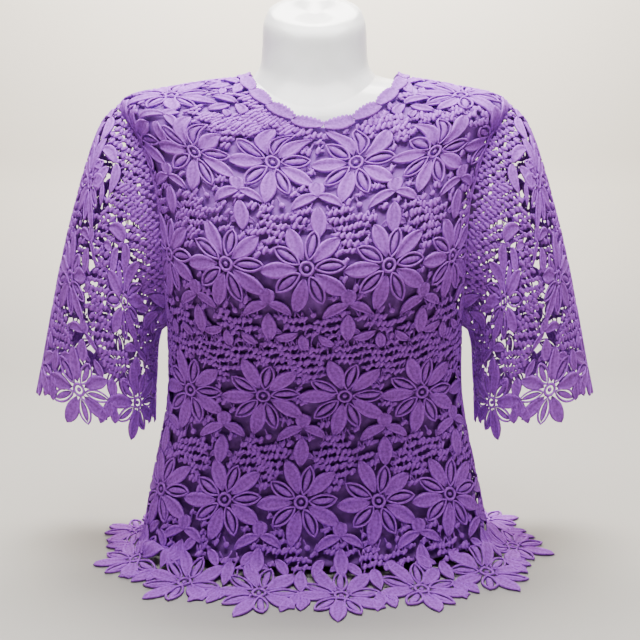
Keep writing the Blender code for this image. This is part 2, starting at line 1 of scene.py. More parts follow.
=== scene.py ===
# Lace top on a bust form: the looks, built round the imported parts. Metres, +Z up, the front faces -Y.
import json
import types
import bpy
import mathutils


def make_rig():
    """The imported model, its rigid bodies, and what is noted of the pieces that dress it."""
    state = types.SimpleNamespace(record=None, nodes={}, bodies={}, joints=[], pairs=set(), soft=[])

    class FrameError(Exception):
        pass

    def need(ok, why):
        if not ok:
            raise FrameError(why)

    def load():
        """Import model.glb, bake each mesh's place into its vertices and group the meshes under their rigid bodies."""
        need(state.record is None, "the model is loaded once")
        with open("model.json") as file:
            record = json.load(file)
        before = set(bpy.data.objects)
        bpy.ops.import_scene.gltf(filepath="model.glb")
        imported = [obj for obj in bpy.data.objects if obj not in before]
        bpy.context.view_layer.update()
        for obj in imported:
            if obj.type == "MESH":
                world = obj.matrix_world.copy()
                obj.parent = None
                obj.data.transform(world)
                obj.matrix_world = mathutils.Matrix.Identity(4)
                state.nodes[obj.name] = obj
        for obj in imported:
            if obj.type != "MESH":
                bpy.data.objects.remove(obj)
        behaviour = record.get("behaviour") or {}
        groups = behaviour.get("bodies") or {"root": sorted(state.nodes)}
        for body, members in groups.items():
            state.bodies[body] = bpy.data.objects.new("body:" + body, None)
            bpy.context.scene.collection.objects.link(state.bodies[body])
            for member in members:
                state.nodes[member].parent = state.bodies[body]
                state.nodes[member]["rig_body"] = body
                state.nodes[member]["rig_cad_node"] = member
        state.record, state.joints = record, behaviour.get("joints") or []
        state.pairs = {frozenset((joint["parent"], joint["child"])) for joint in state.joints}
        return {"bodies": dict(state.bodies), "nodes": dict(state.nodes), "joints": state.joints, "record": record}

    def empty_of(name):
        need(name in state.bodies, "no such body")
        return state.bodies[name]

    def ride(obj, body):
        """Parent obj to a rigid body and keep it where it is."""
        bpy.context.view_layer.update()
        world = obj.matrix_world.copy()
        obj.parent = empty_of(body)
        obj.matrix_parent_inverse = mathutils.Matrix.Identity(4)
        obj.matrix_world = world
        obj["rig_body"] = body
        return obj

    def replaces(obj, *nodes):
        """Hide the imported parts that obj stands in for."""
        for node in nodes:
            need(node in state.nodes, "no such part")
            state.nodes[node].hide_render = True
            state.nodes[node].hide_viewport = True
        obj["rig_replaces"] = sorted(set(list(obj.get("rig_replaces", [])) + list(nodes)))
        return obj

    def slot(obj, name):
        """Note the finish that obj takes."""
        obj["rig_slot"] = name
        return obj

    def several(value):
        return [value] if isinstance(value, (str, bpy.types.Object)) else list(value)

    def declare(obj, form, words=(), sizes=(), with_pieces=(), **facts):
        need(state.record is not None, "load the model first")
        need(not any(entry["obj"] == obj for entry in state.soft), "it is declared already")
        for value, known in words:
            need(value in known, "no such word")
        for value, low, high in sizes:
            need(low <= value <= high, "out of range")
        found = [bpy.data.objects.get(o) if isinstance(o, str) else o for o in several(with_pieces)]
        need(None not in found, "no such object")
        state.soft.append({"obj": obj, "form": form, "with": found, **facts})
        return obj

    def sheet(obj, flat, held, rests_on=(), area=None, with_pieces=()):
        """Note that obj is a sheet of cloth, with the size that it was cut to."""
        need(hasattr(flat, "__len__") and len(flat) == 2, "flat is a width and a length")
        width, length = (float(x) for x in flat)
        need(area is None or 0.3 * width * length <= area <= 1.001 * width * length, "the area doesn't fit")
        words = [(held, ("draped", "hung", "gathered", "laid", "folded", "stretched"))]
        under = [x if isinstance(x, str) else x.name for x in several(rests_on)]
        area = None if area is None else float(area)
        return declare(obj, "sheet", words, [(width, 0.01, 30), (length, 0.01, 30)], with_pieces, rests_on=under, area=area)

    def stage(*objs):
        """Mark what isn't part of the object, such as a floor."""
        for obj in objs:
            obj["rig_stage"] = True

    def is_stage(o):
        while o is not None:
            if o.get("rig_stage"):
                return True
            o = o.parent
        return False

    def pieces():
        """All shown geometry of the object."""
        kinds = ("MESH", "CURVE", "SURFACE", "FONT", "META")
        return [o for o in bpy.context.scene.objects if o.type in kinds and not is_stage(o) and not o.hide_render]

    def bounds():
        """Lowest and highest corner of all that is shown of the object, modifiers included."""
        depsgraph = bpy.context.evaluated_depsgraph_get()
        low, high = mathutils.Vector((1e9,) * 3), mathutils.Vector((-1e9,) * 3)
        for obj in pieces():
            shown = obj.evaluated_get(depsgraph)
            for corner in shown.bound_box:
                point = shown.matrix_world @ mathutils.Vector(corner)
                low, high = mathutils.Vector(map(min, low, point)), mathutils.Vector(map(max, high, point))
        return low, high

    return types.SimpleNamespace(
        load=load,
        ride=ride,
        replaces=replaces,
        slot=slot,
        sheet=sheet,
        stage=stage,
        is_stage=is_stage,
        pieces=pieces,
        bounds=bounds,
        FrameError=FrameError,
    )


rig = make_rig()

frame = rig.load()

import json
import math

import bmesh
import bpy
import numpy as np
from mathutils import Vector
from mathutils.kdtree import KDTree

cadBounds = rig.bounds()
mm = 0.001
floorClear = 0.9 * mm  # the lace's middle where it lies on the floor
sideAngle = math.pi / 2
fullTurn = 2 * math.pi

# Rings of the cloth's middle in mm, from the hem's petal tips up to the tips of the neck edging:
# halfWidth, front, back, zFront, zSide, zBack, corner, shift
bodyRings = (
    (247, 172, 161, 0.9, 0.9, 0.9, 0.02, 9),
    (206, 128, 120, 0.9, 0.9, 0.9, 0.02, 7),
    (192, 101, 101, 3.5, 3.5, 3.5, 0.03, 3),
    (184, 83, 91, 22, 22, 22, 0.04, 1),
    (176, 74, 87, 62, 62, 62, 0.04, 0),
    (164, 70, 83, 114, 114, 114, 0.04, 0),
    (154, 79, 83, 168, 168, 168, 0.05, 0),
    (152, 104, 87, 223, 236, 230, 0.05, 0),
    (155, 129, 92, 284, 300, 300, 0.05, 0),
    (163, 116, 93, 342, 368, 366, 0.05, 0),
    (180, 95, 88, 388, 424, 424, 0.04, 0),
    (194, 87, 68, 408, 464, 460, 0.02, 0),
    (136, 83, 56, 418, 480, 473, 0.03, 3),
    (79, 78, 49, 428, 489, 480, 0.07, 9),
    (72, 71, 44, 440, 497, 489, 0.09, 10),
)
# Waves of the hem off the floor: degrees from the centre front, rise in mm, spread in degrees
hemWaves = (
    (-58, 17, 13), (-20, 5, 12), (22, 6, 11), (56, 15, 13), (98, 9, 12),
    (135, 12, 13), (178, 7, 14), (-140, 11, 13), (-100, 10, 11),
)
hemWaveRing, hemWaveReach = 1.85, 0.55
# Rings of the left sleeve in mm: topX, topZ, underX, underZ, halfDepth. The armhole comes before them.
sleeveRings = (
    (212, 446, 164, 231, 66),
    (228, 406, 168, 221, 71),
    (243, 358, 171, 207, 73),
    (257, 308, 172, 190, 73),
    (269, 258, 173, 172, 72),
    (279, 213, 174, 153, 72),
    (287, 180, 175, 130, 72),
    (291, 164, 175, 115, 72),
)
armhole = {"foot": 7, "top": 11, "halfAngle": math.radians(28.5), "room": 0.35 * mm, "turnedRoom": 2.0 * mm,
           "metresPerRadian": 0.14, "metresPerRing": 0.052, "closedAngle": 0.09, "closedRings": 0.25}
armholeHalf = (armhole["top"] - armhole["foot"]) / 2  # in rings
neckline = 13
edgeMargin = 0.04  # part of a ring that stays free at the neckline and at a sleeve's top
grid = {"around": 721, "bodyRings": 421, "sleeveRings": 321}


def wrapAngle(angle):  # brought within half a turn of the centre front
    return (angle + math.pi) % fullTurn - math.pi


def smoothRows(rows, place):  # a table read at fractional places, on a smooth curve through its rows
    rows = np.asarray(rows, float)
    place = np.clip(np.asarray(place, float), 0, len(rows) - 1)
    low = np.clip(np.floor(place).astype(int), 0, len(rows) - 2)
    t = place - low
    t = t.reshape(t.shape + (1,) * (rows.ndim - 1))
    before, after = np.maximum(low - 1, 0), np.minimum(low + 2, len(rows) - 1)
    start, end = rows[low], rows[low + 1]
    slopeStart, slopeEnd = (end - rows[before]) / 2, (rows[after] - start) / 2
    return (
        (2 * t**3 - 3 * t**2 + 1) * start + (t**3 - 2 * t**2 + t) * slopeStart
        + (3 * t**2 - 2 * t**3) * end + (t**3 - t**2) * slopeEnd
    )


def hemLift(angle, ring):
    lift = np.zeros(np.broadcast(angle, ring).shape)
    for degrees, rise, spread in hemWaves:
        off = wrapAngle(angle - math.radians(degrees))
        lift = lift + rise * mm * np.exp(-((off / math.radians(spread)) ** 2))
    return lift * np.exp(-(((ring - hemWaveRing) / hemWaveReach) ** 2))


def bodyPoints(angle, ring):  # angle 0 is the centre front, 90 degrees the wearer's left side
    columns = np.moveaxis(smoothRows(bodyRings, ring), -1, 0)
    halfWidth, front, back, zFront, zSide, zBack, corner, shift = columns
    across, along = np.sin(angle), np.cos(angle)
    swell = 1 + corner * np.sin(2 * angle) ** 2
    depth = np.where(along > 0, front, back)
    zMiddle = np.where(along > 0, zFront, zBack)
    z = np.maximum(zSide + (zMiddle - zSide) * along**2, floorClear / mm) * mm
    x = (halfWidth * across * swell + shift) * mm
    return np.stack((x, -depth * along * swell * mm, z + hemLift(angle, ring)), axis=-1)


class ClothSurface:  # a surface on a fine grid: its points, outward normals and lengths both ways
    def __init__(self, points, angles, rings):
        self.points, self.angles, self.rings = points, angles, rings
        self.tangents = np.gradient(points, axis=0)
        normals = np.cross(self.tangents, np.gradient(points, axis=1))
        self.normals = normals / np.linalg.norm(normals, axis=-1, keepdims=True)
        self.tangents = self.tangents / np.linalg.norm(self.tangents, axis=-1, keepdims=True)
        steps = np.linalg.norm(np.diff(points, axis=0), axis=-1)
        self.around = np.concatenate([np.zeros((1, len(rings))), np.cumsum(steps, axis=0)])
        steps = np.linalg.norm(np.diff(points, axis=1), axis=-1)
        self.up = np.concatenate([np.zeros((len(angles), 1)), np.cumsum(steps, axis=1)], axis=1)

    def read(self, field, angle, ring):
        a = np.interp(angle, self.angles, np.arange(len(self.angles)))
        r = np.interp(ring, self.rings, np.arange(len(self.rings)))
        a0 = np.minimum(a.astype(int), len(self.angles) - 2)
        r0 = np.minimum(r.astype(int), len(self.rings) - 2)
        fa, fr = a - a0, r - r0
        if field.ndim == 3:
            fa, fr = fa[..., None], fr[..., None]
        low = field[a0, r0] * (1 - fa) + field[a0 + 1, r0] * fa
        high = field[a0, r0 + 1] * (1 - fa) + field[a0 + 1, r0 + 1] * fa
        return low * (1 - fr) + high * fr

    def beside(self, angle, ring, across, up):  # places a real distance across and up from one place
        line = self.read(self.up, np.full_like(self.rings, angle), self.rings)
        rings = np.interp(np.interp(ring, self.rings, line) + up, line, self.rings)
        wanted = self.read(self.around, np.full_like(rings, angle), rings) + across
        angles = np.full_like(rings, angle)
        nudge = 0.02
        for _ in range(6):  # each time nearer to the wanted length
            reached = self.read(self.around, angles, rings)
            step = self.read(self.around, angles + nudge, rings) - reached
            angles = angles + (wanted - reached) / np.maximum(step, 1e-5) * nudge
        return angles, rings

    def angleAt(self, ring, length):
        line = self.read(self.around, self.angles, np.full_like(self.angles, ring))
        return float(np.interp(np.interp(0.0, self.angles, line) + length, line, self.angles))


def armholeEdge(turn, shrink=0.0):  # turn 0 is the shoulder point, 90 degrees the front
    angle = sideAngle - (armhole["halfAngle"] - shrink / armhole["metresPerRadian"]) * np.sin(turn)
    return angle, armhole["foot"] + armholeHalf + (armholeHalf - shrink / armhole["metresPerRing"]) * np.cos(turn)


def armholePlace(wrapped, rings, halfAngle, halfRings):  # across and up from its middle, as shares of its halves
    return (np.abs(wrapped) - sideAngle) / halfAngle, (rings - armhole["foot"] - armholeHalf) / halfRings


def makeBody():
    angles = np.radians(np.linspace(-270, 270, grid["around"]))
    rings = np.linspace(0, len(bodyRings) - 1, grid["bodyRings"])
    return ClothSurface(bodyPoints(angles[:, None], rings[None, :]), angles, rings)


def makeSleeve(body):
    turns = np.radians(np.linspace(-270, 450, grid["around"]))
    room = armhole["room"] + np.minimum(4 * np.abs(np.sin(turns / 2)), 1) * armhole["turnedRoom"]
    rings = [body.read(body.points, *armholeEdge(turns, room))]
    share = (1 + np.cos(turns)) / 2
    for row in sleeveRings:
        topX, topZ, underX, underZ, halfDepth = (value * mm for value in row)
        rings.append(np.stack(
            (underX + (topX - underX) * share, -halfDepth * np.sin(turns), underZ + (topZ - underZ) * share),
            axis=-1))
    places = np.linspace(0, len(sleeveRings), grid["sleeveRings"])
    return ClothSurface(np.moveaxis(smoothRows(np.array(rings), places), 0, 1), turns, places)


body = makeBody()
sleeve = makeSleeve(body)
print("surfaces ready")

# Lace elements, flat: along, across and height, all in mm
lace = {
    "petals": 10,
    "firstPetal": 4,        # degrees, a grooved one, then satin and grooved in turn
    "ringRadius": 7.2,
    "groovedLength": 34,
    "groovedHalfWidth": 6.8,
    "satinLength": 41,
    "satinHalfWidth": 7.6,
    "flowerWidth": 72,      # the repeat across at which a flower has these sizes
    "angleJitter": 2.5,     # degrees
    "lengthJitter": 0.04,
    "bendJitter": 1.2,
    "eyeRadius": 5.6,
    "eyeHalfWidth": 1.5,
    "eyeTop": 2.3,
    "knobRadius": 2.3,
    "knobTop": 2.0,
    "rimHalfWidth": 1.15,
    "rimInset": 1.0,
    "ribInset": 3.6,
    "knotStep": 5.2,
    "rowStep": 8.0,
    "rowWave": 1.5,
    "rowWaveLength": 37,
    "beadHalfLength": 3.7,
    "beadHalfWidth": 2.25,
    "beadTop": 2.3,
    "beadTilt": 0.55,       # radians from upright, all one way like the strands of a rope
    "beadStray": 0.3,
    "rowCordHalfWidth": 1.9,
    "rowCordTop": 1.2,
    "barHalfWidth": 0.85,
    "barTop": 0.9,
    "dippedTop": 0.1,       # where an end dips under a leaf
    "barReach": 11,
    "clearOfLeaves": 2.6,
    "relief": 0.86,         # share of the heights below
    "looseness": 0.9,       # mm that a bead may stray
    "usualRadius": 0.12,    # metres, of the body
    # Below fullRelief the yarn is painted darker the lower it lies: painted shade in the lace's hollows.
    "fullRelief": 2.2,      # from this height the yarn has its light colour
}
petalProfile = (  # across as a share of the half width, height as a share of the top
    (-1, 0.05), (-0.88, 0.9), (-0.66, 1.0), (-0.4, 0.5), (0, 0.68), (0.4, 0.5), (0.66, 1.0), (0.88, 0.9), (1, 0.05),
    (0, -0.25),
)
domeProfile = ((-1, 0.1), (-0.7, 0.8), (0, 1.0), (0.7, 0.8), (1, 0.1), (0, -0.25))
cordProfile = ((-1, 0.3), (-0.45, 1.0), (0.45, 1.0), (1, 0.3), (0, -0.2))


def leafWidths(count, fullest=0.5, tip=0.75):  # half widths along a leaf, as shares of its fullest
    t = np.linspace(0, 1, count)
    return np.sin(math.pi * t ** (math.log(0.5) / math.log(fullest))) ** tip


def bandFaces(rows, sides, closed=False):  # between rows of points that each go round once
    return [(i * sides + j, i * sides + (j + 1) % sides,
             (i + 1) % rows * sides + (j + 1) % sides, (i + 1) % rows * sides + j)
            for i in range(rows if closed else rows - 1) for j in range(sides)]


def loft(line, widths, profile, top, closed=False):  # one closed island swept along a flat line, in mm
    line, widths = np.asarray(line, float), np.asarray(widths, float)
    if closed:
        ahead = np.roll(line, -1, axis=0) - np.roll(line, 1, axis=0)
    else:
        ahead = np.gradient(line, axis=0)
    ahead = ahead / np.linalg.norm(ahead, axis=1, keepdims=True)
    side = np.stack((ahead[:, 1], -ahead[:, 0]), axis=1)
    across, height = np.array(profile).T
    flat = line[:, None] + side[:, None] * (widths[:, None] * across)[..., None]
    full = np.clip(widths / max(widths.max(), 1e-6) * 2.2, 0.25, 1)
    high = full[:, None] * (height * top)
    points = np.concatenate((flat, high[..., None]), axis=2).reshape(-1, 3)
    return points, bandFaces(len(line), len(profile), closed)


def alongLine(start, end, count, bend=0.0):  # a line from start to end that bows to one side by bend mm
    start, end = np.array(start, float), np.array(end, float)
    t = np.linspace(0, 1, count)[:, None]
    ahead = end - start
    side = np.array((ahead[1], -ahead[0])) / np.linalg.norm(ahead)
    return start + ahead * t + side * bend * 4 * t * (1 - t)


def leaf(start, end, halfWidth, top=2.4, bend=0.0, stations=9, fullest=0.5, profile=petalProfile):
    return loft(alongLine(start, end, stations, bend), leafWidths(stations, fullest) * halfWidth, profile, top)


def groovedLeaf(start, end, halfWidth, top=2.4, bend=0.0, stations=10):  # a raised rim, two slots and a rib
    middle = alongLine(start, end, stations, bend)
    ahead = np.gradient(middle, axis=0)
    ahead = ahead / np.linalg.norm(ahead, axis=1, keepdims=True)
    side = np.stack((ahead[:, 1], -ahead[:, 0]), axis=1)
    reach = side * (leafWidths(stations, 0.52, 0.7) * (halfWidth - lace["rimInset"]))[:, None]
    rim = np.concatenate((middle + reach, (middle - reach)[-2:0:-1]))
    parts = [loft(rim, np.full(len(rim), lace["rimHalfWidth"]), cordProfile, top, closed=True)]
    inset = middle[0] + (middle[-1] - middle[0]) * 0.07, middle[-1] - (middle[-1] - middle[0]) * 0.06
    rib = alongLine(inset[0], inset[1], 7, bend)
    parts.append(loft(rib, leafWidths(7, 0.5, 0.6) * (halfWidth - lace["ribInset"]), domeProfile, top * 0.8))
    return parts


def circleLine(middle, radius, count):
    turns = np.linspace(0, fullTurn, count, endpoint=False)
    return np.stack((middle[0] + radius * np.cos(turns), middle[1] + radius * np.sin(turns)), axis=1)


def knob(middle, radius, top, count=8):
    turns = np.linspace(0, fullTurn, count, endpoint=False)
    rings = ((1.0, -0.2), (1.0, 0.35), (0.75, 0.85), (0.3, 1.0))
    points = [(middle[0] + radius * r * math.cos(t), middle[1] + radius * r * math.sin(t), top * h)
              for r, h in rings for t in turns]
    caps = [tuple(reversed(range(count))), tuple(range(3 * count, 4 * count))]
    return np.array(points), caps + bandFaces(len(rings), count)


def flowerParts(random):  # the open flower: grooved and satin petals in turn
    parts = []
    for n in range(lace["petals"]):
        turn = math.radians(lace["firstPetal"] + 360 / lace["petals"] * n
                            + random.uniform(-1, 1) * lace["angleJitter"])
        ahead = np.array((math.cos(turn), math.sin(turn)))
        grown = 1 + random.uniform(-1, 1) * lace["lengthJitter"]
        bend = random.uniform(-1, 1) * lace["bendJitter"]
        start = ahead * lace["ringRadius"]
        if n % 2 == 0:
            end = ahead * lace["groovedLength"] * grown
            parts += groovedLeaf(start, end, lace["groovedHalfWidth"], bend=bend)
        else:
            end = ahead * lace["satinLength"] * grown
            parts.append(leaf(start, end, lace["satinHalfWidth"], 2.5, bend, 10, 0.54))
    eye = circleLine((0, 0), lace["eyeRadius"], 18)
    parts.append(loft(eye, np.full(18, lace["eyeHalfWidth"]), cordProfile, lace["eyeTop"], closed=True))
    parts.append(knob((0, 0), lace["knobRadius"], lace["knobTop"]))
    return parts


def lobe(start, end, halfWidth, top=2.2):  # a broad rounded leaf
    t = np.linspace(0, 1, 8)
    return loft(alongLine(start, end, 8), np.sin(math.pi * t**0.8) ** 0.5 * halfWidth, petalProfile, top)


def leafParts():  # the arched pair of leaves and its bud to the right, below each flower, and the gap's knob
    return [
        lobe((36, -18), (36, -33), 7.5),
        leaf((37, -32), (13, -46), 5.2, bend=3.2, stations=10, fullest=0.45),
        leaf((36, -32), (57, -43), 4.8, bend=-3.0, stations=10, fullest=0.45),
        leaf((36, -41), (36, -70), 7.4, stations=10, fullest=0.5),
        leaf((37, -56), (48, -62), 3.2, stations=6, top=1.4),
        leaf((35, -56), (25, -63), 3.2, stations=6, top=1.4),
        loft(alongLine((2, -34), (5, -41), 3), (0.9, 0.9, 0.9), cordProfile, 1.2),
        knob((5.5, -41.5), 3.0, 2.0),
    ]


def yokeParts():  # an arched spray under the neckline
    return [
        leaf((0, -2), (-24, -15), 6.2, bend=4.0, stations=9, fullest=0.45),
        leaf((0, -2), (23, -16), 6.2, bend=-4.0, stations=9, fullest=0.45),
        leaf((0, -9), (1, -35), 7.2, stations=9),
        leaf((-6, -19), (-22, -29), 4.4, bend=1.5, stations=7),
        leaf((7, -20), (22, -31), 4.4, bend=-1.5, stations=7),
    ]


def waistParts():  # extra leaves where two rows of flowers stand further apart
    return [
        leaf((-8, -60), (-30, -66), 5.0, bend=-2.2, stations=8),
        leaf((10, -62), (25, -74), 4.6, bend=1.8, stations=8),
        leaf((-5, -62), (-2, -80), 5.4, stations=8),
    ]


def edgeParts():  # small outer leaves that close the hem and the cuffs between two flowers
    return [
        leaf((33, 4), (33, -19), 5.5, fullest=0.55),
        leaf((30, -4), (26, -27), 5.0, fullest=0.55),
        leaf((40, -4), (42, -24), 5.0, fullest=0.55),
        leaf((-33, -2), (-31, -16), 4.2),
        leaf((36, 5), (36, 33), 6.6, fullest=0.55),
        leaf((24, 25), (12, 41), 5.2, bend=1.5, stations=8),
        leaf((47, 27), (58, 41), 5.2, bend=-1.5, stations=8),
    ]


# The gaps round a flower that the net leaves open, in mm: across, up, half width, half height
gapsOpen = ((5, -41, 9.0, 8.5), (38, 9, 6.0, 5.5), (37, -13, 5.5, 4.5), (23, -51, 5.0, 4.0), (49, -51, 5.0, 4.0),
            (-24, -33, 4.5, 5.5))
gapShare = 0.8  # of a gap's mean half size, that nothing of the net enters


class LaceWork:  # collects closed islands in the part's own frame
    def __init__(self):
        self.points, self.faces, self.reliefs, self.count = [], [], [], 0
        self.onFront = []  # of each face, so that an island stays whole

    def add(self, points, faces, reliefs):
        self.faces += [tuple(corner + self.count for corner in face) for face in faces]
        self.onFront += [bool(points[:, 1].mean() < 0)] * len(faces)
        self.points.append(points)
        self.reliefs.append(reliefs)
        self.count += len(points)

    def arrays(self):
        return np.concatenate(self.points), np.concatenate(self.reliefs)


def keepOnBody(angles, rings):  # stops at the neckline, at the hem and at the armholes' edges
    rings = np.clip(rings, 0, neckline - edgeMargin)
    wrapped = wrapAngle(angles)
    across, up = armholePlace(wrapped, rings, armhole["halfAngle"], armholeHalf)
    out = np.sqrt(across**2 + up**2)
    push = np.where(out < 1, 1 / np.maximum(out, 1e-3), 1)
    moved = sideAngle + across * push * armhole["halfAngle"]
    angles = np.where(out < 1, angles + np.sign(wrapped) * (moved - np.abs(wrapped)), angles)
    return angles, armhole["foot"] + armholeHalf + up * push * armholeHalf


def keepOnSleeve(turns, places):
    return turns, np.clip(places, edgeMargin, len(sleeveRings))


def layParts(work, surface, place, parts, keep, upward):
    angle, ring, scale = place
    for points, faces in parts:
        across, up, heights = points.T * mm
        angles, rings = keep(*surface.beside(angle, ring, across * scale, up * scale * upward))
        laid = surface.read(surface.points, angles, rings)
        laid = laid + surface.read(surface.normals, angles, rings) * (heights * lace["relief"])[:, None]
        work.add(laid, faces, points[:, 2])


def bodyFlowers(rows):
    for ring, count, first in rows:
        line = body.read(body.around, np.radians([-180.0, 180.0]), np.full(2, float(ring)))
        pitch = (line[1] - line[0]) / count
        for n in range(-(count // 2), count - count // 2):
            yield body.angleAt(ring, first * mm + pitch * n), ring, pitch / (lace["flowerWidth"] * mm)


def sleevePlace(turn, height, scale):  # height in mm above the cuff's edge
    line = sleeve.read(sleeve.up, np.full_like(sleeve.rings, turn), sleeve.rings)
    return turn, float(np.interp(line[-1] - height * mm, line, sleeve.rings)), scale


def netKnots(surface, baseRing, upward, net):  # staggered places, in wavy rows
    rowStep, knotStep = lace["rowStep"] * net["fine"] * mm, lace["knotStep"] * net["fine"] * mm
    lowest, highest = net["lowest"], net["highest"]
    inTurn = np.abs(surface.angles) <= math.pi + 1e-6
    angles = surface.angles[inTurn]
    lines = surface.up[inTurn]
    around = surface.read(surface.around, angles, np.full_like(angles, baseRing))
    base = surface.read(surface.up, angles, np.full_like(angles, baseRing))
    edge = np.array([np.interp(highest if upward > 0 else lowest, surface.rings, line) for line in lines])
    rows = []
    for k in range(net["rows"]):
        wave = lace["rowWave"] * mm * np.sin(fullTurn * around / (lace["rowWaveLength"] * mm) + 1.3 * k)
        wanted = base + upward * (k * rowStep + wave)
        rings = np.array([np.interp(w, line, surface.rings, -1, 99) for w, line in zip(wanted, lines)])
        laid = surface.read(surface.points, angles, np.clip(rings, 0, surface.rings[-1]))
        along = np.concatenate(([0], np.cumsum(np.linalg.norm(np.diff(laid, axis=0), axis=1))))
        count = max(round(along[-1] / knotStep), 4)
        at = (np.arange(count) + 0.5 * (k % 2)) * along[-1] / count
        knotAngles = np.interp(at, along, angles)
        knotRings = np.interp(knotAngles, angles, rings)
        allowed = (knotRings >= lowest) & (knotRings <= highest)
        allowed &= np.interp(knotAngles, angles, upward * (edge - wanted)) > net["edgeClear"]
        rows.append((knotAngles, knotRings, allowed))
    return rows


knotHere, underLeaf, leftOpen = range(3)  # what stands at a place of the net


def netRow(surface, row, cover, isOpen, inHole, random):
    angles, rings, allowed = row
    rings = np.clip(rings, 0, surface.rings[-1])
    angles = angles + random.uniform(-1, 1, len(angles)) * lace["looseness"] * mm / lace["usualRadius"]
    points = surface.read(surface.points, angles, rings)
    states = []
    for point, angle, ring, inside in zip(points, angles, rings, allowed):
        if not inside or inHole(angle, ring) or isOpen(point):
            states.append(leftOpen)
        elif cover.find(Vector(point))[2] < lace["clearOfLeaves"] * mm:
            states.append(underLeaf)
        else:
            states.append(knotHere)
    normals = surface.read(surface.normals, angles, rings)
    tangents = surface.read(surface.tangents, angles, rings)
    return angles, points, normals, tangents, states


def layBeads(work, laidRows, random, fine):  # short upright beads, all leaning one way
    bead, faces = loft(((-1, 0), (-0.6, 0), (0.6, 0), (1, 0)), (0.45, 1.0, 1.0, 0.45), domeProfile, 1.0)
    shape = bead * (lace["beadHalfLength"] * fine, lace["beadHalfWidth"] * fine, lace["beadTop"] * lace["relief"])
    faces = faces + [tuple(range(6)), tuple(reversed(range(18, 24)))]
    for _, points, normals, tangents, states in laidRows:
        for point, normal, tangent, state in zip(points, normals, tangents, states):
            if state != knotHere:
                continue
            up = np.cross(normal, tangent)
            tilt = lace["beadTilt"] + random.uniform(-1, 1) * lace["beadStray"]
            ahead = up * math.cos(tilt) + tangent * math.sin(tilt)
            side = tangent * math.cos(tilt) - up * math.sin(tilt)
            size = random.uniform(0.82, 1.12)
            grain = ahead * shape[:, :1] + side * shape[:, 1:2] + normal * shape[:, 2:]
            work.add(point + grain * (size * mm), faces, shape[:, 2])


def layBar(work, ends, states, normal, halfWidth, top, isOpen):  # a short cord between two places
    start, end = ends
    length = np.linalg.norm(end - start)
    bothCovered = states == (underLeaf, underLeaf)
    if leftOpen in states or bothCovered or not 1 * mm <= length <= lace["barReach"] * mm:
        return
    if isOpen((start + end) / 2):
        return
    side = np.cross((end - start) / length, normal) * halfWidth * mm
    section = ((-1, 0), (-0.75, 1), (0.75, 1), (1, 0))
    corners = []
    for place, state in zip(ends, states):
        rise = (lace["dippedTop"] if state == underLeaf else top) + 0.2
        corners += [place + side * a + normal * ((h * rise - 0.2) * mm) for a, h in section]
    faces = [(0, 1, 2, 3), (7, 6, 5, 4)] + [(j, (j + 1) % 4, (j + 1) % 4 + 4, j + 4) for j in range(4)]
    # The bar's foot gets relief 0, so painted shade falls on it, and its top gets the light colour.
    work.add(np.array(corners), faces, np.tile([0.0, 1.2, 1.2, 0.0], 2))


def layRowCords(work, laidRows, isOpen):
    for _, points, normals, _, states in laidRows:
        for i in range(len(points)):
            j = (i + 1) % len(points)
            layBar(work, (points[i], points[j]), (states[i], states[j]), normals[i],
                   lace["rowCordHalfWidth"], lace["rowCordTop"], isOpen)


def layCrossBars(work, laidRows, isOpen):  # from each place to those of the row below
    for low, high in zip(laidRows[:-1], laidRows[1:]):
        for i, angle in enumerate(high[0]):
            right = int(np.searchsorted(low[0], angle))
            chosen = (right - 1, right % len(low[0]))
            if high[4][i] == knotHere:
                chosen = chosen[:1] if i % 2 else ()
            for j in chosen:
                layBar(work, (low[1][j], high[1][i]), (low[4][j], high[4][i]), high[2][i],
                       lace["barHalfWidth"], lace["barTop"], isOpen)


def layNet(work, surface, rows, leaves, isOpen, inHole, random, fine):
    cover = treeOf(coverOf(leaves))
    laidRows = [netRow(surface, row, cover, isOpen, inHole, random) for row in rows]
    layBeads(work, laidRows, random, fine)
    layRowCords(work, laidRows, isOpen)
    layCrossBars(work, laidRows, isOpen)


def coverOf(work):  # places covered by leaves and petals: their raised points and the middles of their faces
    points, reliefs = work.arrays()
    middles = [points[list(face)].mean(axis=0) for face in work.faces if reliefs[list(face)].min() > 0]
    return np.concatenate((points[reliefs > 0], middles))


def treeOf(points):
    tree = KDTree(len(points))
    for index, point in enumerate(points):
        tree.insert(Vector(point), index)
    tree.balance()
    return tree


def nearArmhole(angles, rings):  # within about 12 mm of the armhole's edge
    across, up = armholePlace(wrapAngle(angles), rings, armhole["halfAngle"] + armhole["closedAngle"],
                              armholeHalf + armhole["closedRings"])
    return across**2 + up**2 < 1


def gapTest(surface, places, upward):  # says whether a point is in a gap that stays open
    centres, sizes = [], []
    for angle, ring, scale in places:
        across, up, halfWidth, halfHeight = np.array(gapsOpen).T * mm * scale
        angles, rings = surface.beside(angle, ring, across, up * upward)
        inReach = (rings > 0.05) & (rings < surface.rings[-1] - 0.05)
        if surface is body:
            inReach &= ~nearArmhole(angles, rings)
        centres += list(surface.read(surface.points, angles, rings)[inReach])
        sizes += list(((halfWidth + halfHeight) / 2 * gapShare)[inReach])
    tree = treeOf(centres)

    def isOpen(point):
        _, index, away = tree.find(Vector(point))
        return away < sizes[index]

    return isOpen


